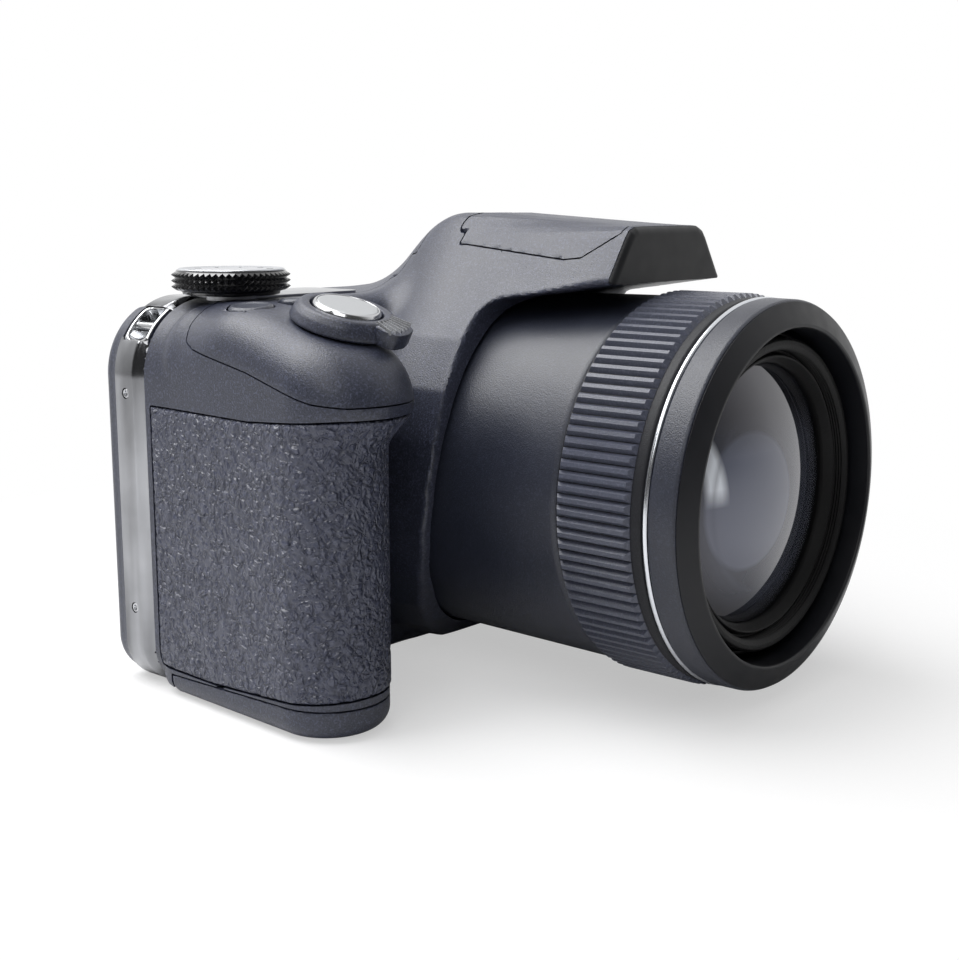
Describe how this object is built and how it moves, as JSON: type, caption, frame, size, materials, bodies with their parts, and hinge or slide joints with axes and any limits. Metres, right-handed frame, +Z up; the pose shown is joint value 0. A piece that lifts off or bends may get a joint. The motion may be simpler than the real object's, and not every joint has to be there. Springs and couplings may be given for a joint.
{
  "type": "bridge camera",
  "caption": "Bridge camera with a deep leatherette hand grip, fixed long zoom lens with ribbed ring, pop-up flash hump, mode dial and chrome side strip.",
  "frame": {"origin": "mouth of the tripod socket in the base", "axes": "-Y along the lens, +Z up, grip on the -X side"},
  "size_m": [0.1256, 0.1129, 0.0934],
  "materials": {
    "shell": "satin moulded plastic with a fine speckle",
    "leatherette": "soft grained covering",
    "chrome": "polished",
    "black_panel": "smooth dark",
    "lamp": "dark translucent",
    "steel": "plain",
    "frame_metal": "stamped",
    "barrel": "satin",
    "ring_rubber": "ribbed",
    "silver": "polished",
    "tube_black": "matt black",
    "optic": "coated",
    "board": "printed board",
    "unit": "sealed unit",
    "screen": "gloss",
    "dial_black": "gloss",
    "dial_silver": "spun",
    "button_grey": "satin",
    "button_dark": "satin",
    "button_red": "satin",
    "clear": "clear"
  },
  "bodies": {
    "body": {"front_shell": "shell", "rear_cover": "shell", "top_cover": "shell", "grip_cover": "leatherette", "side_trim": "chrome", "side_trim_screws": "steel", "strap_lug_right": "chrome", "strap_lug_left": "chrome", "top_trim": "chrome", "nose_panel": "black_panel", "af_lamp_window": "lamp", "tripod_socket": "steel", "base_screws": "steel", "chassis_frame": "frame_metal", "lens_barrel": "barrel", "silver_ring": "silver", "front_bezel": "barrel", "zoom_guide_tube": "tube_black", "iris_unit": "unit", "rear_lens_group": "unit", "image_sensor": "screen", "sensor_board": "board", "zoom_motor": "unit", "main_board": "board", "lcd_module": "screen", "lcd_window": "screen", "battery_case": "unit", "battery": "unit", "memory_card": "unit", "flash_capacitor": "unit", "dial_bearing": "frame_metal", "shutter_bush": "frame_metal", "flash_bracket": "frame_metal", "flash_hinge_pin": "steel", "battery_door_pin": "steel", "port_cover_pin": "steel"},
    "control_ring": {"grip_ring": "ring_rubber"},
    "zoom_stage_1": {"zoom_tube_outer": "tube_black"},
    "zoom_stage_2": {"zoom_tube_inner": "tube_black", "front_lens": "optic", "lens_retainer": "tube_black"},
    "dial": {"mode_dial": "dial_black", "dial_plate": "dial_silver"},
    "shutter": {"shutter_button": "button_grey"},
    "lever": {"zoom_lever": "button_dark"},
    "power": {"power_button": "button_grey"},
    "drive": {"drive_button": "button_grey"},
    "flash": {"flash_cover": "shell", "flash_head": "unit", "flash_window": "clear", "flash_tube": "clear"},
    "release": {"flash_release": "button_dark"},
    "door": {"battery_door": "shell"},
    "port": {"port_cover": "button_dark"},
    "movie": {"movie_button": "button_red"},
    "menu": {"menu_button": "button_dark"},
    "play": {"play_button": "button_dark"},
    "pad": {"nav_pad": "button_dark"},
    "ok": {"ok_button": "button_grey"}
  },
  "joints": [
    {"name": "control_ring_turn", "type": "hinge", "parent": "body", "child": "control_ring", "pos_m": [0, -0.078, 0.041], "axis": [0, -1, 0], "continuous": true},
    {"name": "zoom_stage_1_slide", "type": "slide", "parent": "body", "child": "zoom_stage_1", "axis": [0, -1, 0], "range_m": [0, 0.03]},
    {"name": "zoom_stage_2_slide", "type": "slide", "parent": "zoom_stage_1", "child": "zoom_stage_2", "axis": [0, -1, 0], "range_m": [0, 0.03]},
    {"name": "mode_dial_turn", "type": "hinge", "parent": "body", "child": "dial", "pos_m": [-0.0547, -0.002, 0.08], "axis": [0, 0, 1], "continuous": true},
    {"name": "shutter_press", "type": "slide", "parent": "body", "child": "shutter", "axis": [0, 0.2924, -0.9563], "range_m": [0, 0.0005], "stiffness_N_per_m": 600},
    {"name": "zoom_lever_turn", "type": "hinge", "parent": "body", "child": "lever", "pos_m": [-0.056, -0.0345, 0.07318], "axis": [0, -0.2924, 0.9563], "range_deg": [-18, 18], "stiffness_Nm_per_rad": 0.02},
    {"name": "power_press", "type": "slide", "parent": "body", "child": "power", "axis": [0, 0, -1], "range_m": [0, 0.0005], "stiffness_N_per_m": 600},
    {"name": "drive_press", "type": "slide", "parent": "body", "child": "drive", "axis": [0, 0, -1], "range_m": [0, 0.0005], "stiffness_N_per_m": 600},
    {"name": "flash_lift", "type": "hinge", "parent": "body", "child": "flash", "pos_m": [0, -0.0252, 0.0912], "axis": [-1, 0, 0], "range_deg": [0, 38]},
    {"name": "flash_release_press", "type": "slide", "parent": "body", "child": "release", "axis": [-1, 0, 0], "range_m": [0, 0.0008], "stiffness_N_per_m": 600},
    {"name": "battery_door_swing", "type": "hinge", "parent": "body", "child": "door", "pos_m": [-0.055, 0, 0.0022], "axis": [1, 0, 0], "range_deg": [0, 92]},
    {"name": "port_cover_swing", "type": "hinge", "parent": "body", "child": "port", "pos_m": [0.0506, 0.0016, 0.039], "axis": [0, 0, 1], "range_deg": [0, 95]},
    {"name": "movie_press", "type": "slide", "parent": "body", "child": "movie", "axis": [0, -1, 0], "range_m": [0, 0.0004], "stiffness_N_per_m": 600},
    {"name": "menu_press", "type": "slide", "parent": "body", "child": "menu", "axis": [0, -1, 0], "range_m": [0, 0.0004], "stiffness_N_per_m": 600},
    {"name": "play_press", "type": "slide", "parent": "body", "child": "play", "axis": [0, -1, 0], "range_m": [0, 0.0004], "stiffness_N_per_m": 600},
    {"name": "nav_press", "type": "slide", "parent": "body", "child": "pad", "axis": [0, -1, 0], "range_m": [0, 0.0004], "stiffness_N_per_m": 600},
    {"name": "ok_press", "type": "slide", "parent": "body", "child": "ok", "axis": [0, -1, 0], "range_m": [0, 0.0004], "stiffness_N_per_m": 600}
  ],
  "couplings": [
    {"joint": "zoom_stage_2_slide", "follows": "zoom_stage_1_slide", "ratio": 1}
  ]
}
